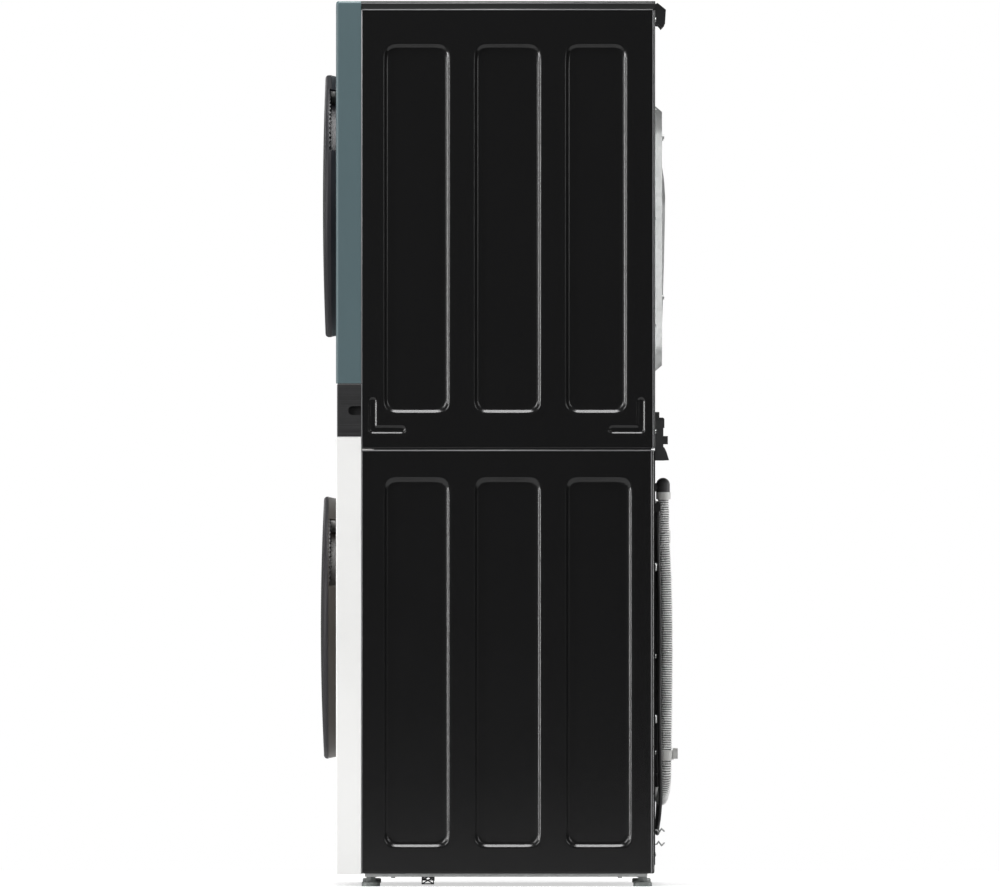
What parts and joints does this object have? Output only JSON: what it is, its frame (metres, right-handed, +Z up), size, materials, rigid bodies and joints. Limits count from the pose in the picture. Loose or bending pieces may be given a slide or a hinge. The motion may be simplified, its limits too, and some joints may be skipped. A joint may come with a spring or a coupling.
{
  "type": "washer dryer stack",
  "caption": "Laundry tower in one tall cabinet: front-loading washer below, ventless dryer above, shared control panel between, round doors that swing open.",
  "frame": {"origin": "on the floor, under the middle of the whole box", "axes": "+Z up, the doors face -Y, +X is the machine's right-hand side seen from the front"},
  "size_m": [0.6, 0.6692, 1.655],
  "materials": {
    "cabinet_black": "powder coated steel, satin",
    "front_teal": "painted steel, satin",
    "front_white": "painted steel, gloss",
    "control_grey": "fine horizontal brushing",
    "display_glass": "black, glossy",
    "tinted_glass": "smoked, glossy",
    "door_trim": "dark satin",
    "clear_glass": "clear",
    "galvanised": "spangled zinc",
    "stainless": "brushed, perforated",
    "black_plastic": "moulded",
    "pale_plastic": "moulded",
    "hose_grey": "corrugated",
    "cord_black": "smooth sheath",
    "seal_rubber": "moulded bellows",
    "tub_plastic": "moulded",
    "aluminium_fins": "finned",
    "motor_iron": "painted",
    "weight_grey": "cast",
    "screen_grey": "mesh in a frame"
  },
  "bodies": {
    "cabinet": {"top_panel": "cabinet_black", "dryer_side_right": "cabinet_black", "dryer_side_left": "cabinet_black", "washer_side_right": "cabinet_black", "washer_side_left": "cabinet_black", "dryer_front_panel": "front_teal", "washer_front_panel": "front_white", "control_panel": "control_grey", "display_window": "display_glass", "dryer_rear_panel": "galvanised", "washer_rear_panel": "cabinet_black", "rear_duct_cover": "galvanised", "base_pan": "galvanised", "rear_fasteners": "galvanised", "panel_spacers": "black_plastic", "valve_housing": "black_plastic", "drain_elbow": "black_plastic", "hose_clips": "pale_plastic", "cord_gland": "black_plastic", "drain_hose": "hose_grey", "power_cord": "cord_black", "power_plug": "black_plastic", "door_hardware": "galvanised", "dryer_bulkhead": "tub_plastic", "drive_belt": "cord_black", "dryer_motor": "motor_iron", "refrigerant_circuit": "aluminium_fins", "heat_pump_base": "black_plastic", "door_gasket": "seal_rubber", "tub_front": "tub_plastic", "tub_rear": "tub_plastic", "motor_stator": "motor_iron", "tub_mountings": "weight_grey", "drain_pump": "tub_plastic", "drawer_housing": "tub_plastic"},
    "washer_door": {"washer_door_cover": "tinted_glass", "washer_door_ring": "door_trim", "washer_door_bowl": "clear_glass"},
    "dryer_door": {"dryer_door_cover": "tinted_glass", "dryer_door_ring": "door_trim", "dryer_door_liner": "door_trim", "dryer_door_window": "clear_glass"},
    "dryer_drum": {"dryer_drum": "stainless"},
    "washer_drum": {"washer_drum": "stainless", "washer_rotor": "motor_iron"},
    "fan_rotor": {"fan_rotor": "black_plastic"},
    "drum_roller_right": {"drum_roller_right": "seal_rubber"},
    "drum_roller_left": {"drum_roller_left": "seal_rubber"},
    "detergent_drawer": {"detergent_drawer": "front_white"},
    "lint_filter": {"lint_filter": "screen_grey"},
    "service_flap": {"service_flap": "front_white"},
    "filter_cap": {"filter_cap": "pale_plastic"},
    "washer_power_button": {"washer_power_button": "black_plastic"},
    "washer_start_button": {"washer_start_button": "black_plastic"},
    "dryer_start_button": {"dryer_start_button": "black_plastic"},
    "dryer_power_button": {"dryer_power_button": "black_plastic"},
    "foot_front_right": {"foot_front_right": "galvanised"},
    "foot_front_left": {"foot_front_left": "galvanised"},
    "foot_rear_right": {"foot_rear_right": "galvanised"},
    "foot_rear_left": {"foot_rear_left": "galvanised"}
  },
  "joints": [
    {"name": "washer_door_hinge", "type": "hinge", "parent": "cabinet", "child": "washer_door", "pos_m": [-0.2545, -0.316, 0.4822], "axis": [0, 0, -1], "range_deg": [0, 150]},
    {"name": "dryer_door_hinge", "type": "hinge", "parent": "cabinet", "child": "dryer_door", "pos_m": [-0.2545, -0.316, 1.2737], "axis": [0, 0, -1], "range_deg": [0, 150]},
    {"name": "dryer_drum_spin", "type": "hinge", "parent": "cabinet", "child": "dryer_drum", "pos_m": [0, 0.25, 1.2737], "axis": [0, 1, 0], "continuous": true},
    {"name": "washer_drum_spin", "type": "hinge", "parent": "cabinet", "child": "washer_drum", "pos_m": [0, 0.2, 0.4822], "axis": [0, 1, 0], "continuous": true},
    {"name": "fan_rotor_spin", "type": "hinge", "parent": "cabinet", "child": "fan_rotor", "pos_m": [-0.195, 0, 0.935], "axis": [0, 1, 0], "continuous": true},
    {"name": "drum_roller_right_spin", "type": "hinge", "parent": "cabinet", "child": "drum_roller_right", "pos_m": [0.16628, -0.212, 1.03623], "axis": [0, 1, 0], "continuous": true},
    {"name": "drum_roller_left_spin", "type": "hinge", "parent": "cabinet", "child": "drum_roller_left", "pos_m": [-0.16628, -0.212, 1.03623], "axis": [0, 1, 0], "continuous": true},
    {"name": "detergent_drawer_slide", "type": "slide", "parent": "cabinet", "child": "detergent_drawer", "axis": [0, -1, 0], "range_m": [0, 0.2]},
    {"name": "lint_filter_slide", "type": "slide", "parent": "cabinet", "child": "lint_filter", "axis": [0, 0, 1], "range_m": [0, 0.09]},
    {"name": "service_flap_hinge", "type": "hinge", "parent": "cabinet", "child": "service_flap", "pos_m": [-0.225, -0.3028, 0.048], "axis": [1, 0, 0], "range_deg": [0, 95]},
    {"name": "filter_cap_turn", "type": "hinge", "parent": "cabinet", "child": "filter_cap", "pos_m": [-0.215, -0.25, 0.095], "axis": [0, 1, 0], "range_deg": [0, 90]},
    {"name": "washer_power_button_press", "type": "slide", "parent": "cabinet", "child": "washer_power_button", "axis": [0, 1, 0], "range_m": [0, 0.0015], "stiffness_N_per_m": 900},
    {"name": "washer_start_button_press", "type": "slide", "parent": "cabinet", "child": "washer_start_button", "axis": [0, 1, 0], "range_m": [0, 0.0015], "stiffness_N_per_m": 900},
    {"name": "dryer_start_button_press", "type": "slide", "parent": "cabinet", "child": "dryer_start_button", "axis": [0, 1, 0], "range_m": [0, 0.0015], "stiffness_N_per_m": 900},
    {"name": "dryer_power_button_press", "type": "slide", "parent": "cabinet", "child": "dryer_power_button", "axis": [0, 1, 0], "range_m": [0, 0.0015], "stiffness_N_per_m": 900},
    {"name": "foot_front_right_turn", "type": "hinge", "parent": "cabinet", "child": "foot_front_right", "pos_m": [0.262, -0.2396, 0.02], "axis": [0, 0, 1], "continuous": true},
    {"name": "foot_front_left_turn", "type": "hinge", "parent": "cabinet", "child": "foot_front_left", "pos_m": [-0.262, -0.2396, 0.02], "axis": [0, 0, 1], "continuous": true},
    {"name": "foot_rear_right_turn", "type": "hinge", "parent": "cabinet", "child": "foot_rear_right", "pos_m": [0.262, 0.2686, 0.02], "axis": [0, 0, 1], "continuous": true},
    {"name": "foot_rear_left_turn", "type": "hinge", "parent": "cabinet", "child": "foot_rear_left", "pos_m": [-0.262, 0.2686, 0.02], "axis": [0, 0, 1], "continuous": true}
  ],
  "couplings": [
    {"joint": "fan_rotor_spin", "follows": "dryer_drum_spin", "ratio": 19.393},
    {"joint": "drum_roller_right_spin", "follows": "dryer_drum_spin", "ratio": -7.7727},
    {"joint": "drum_roller_left_spin", "follows": "dryer_drum_spin", "ratio": -7.7727}
  ]
}
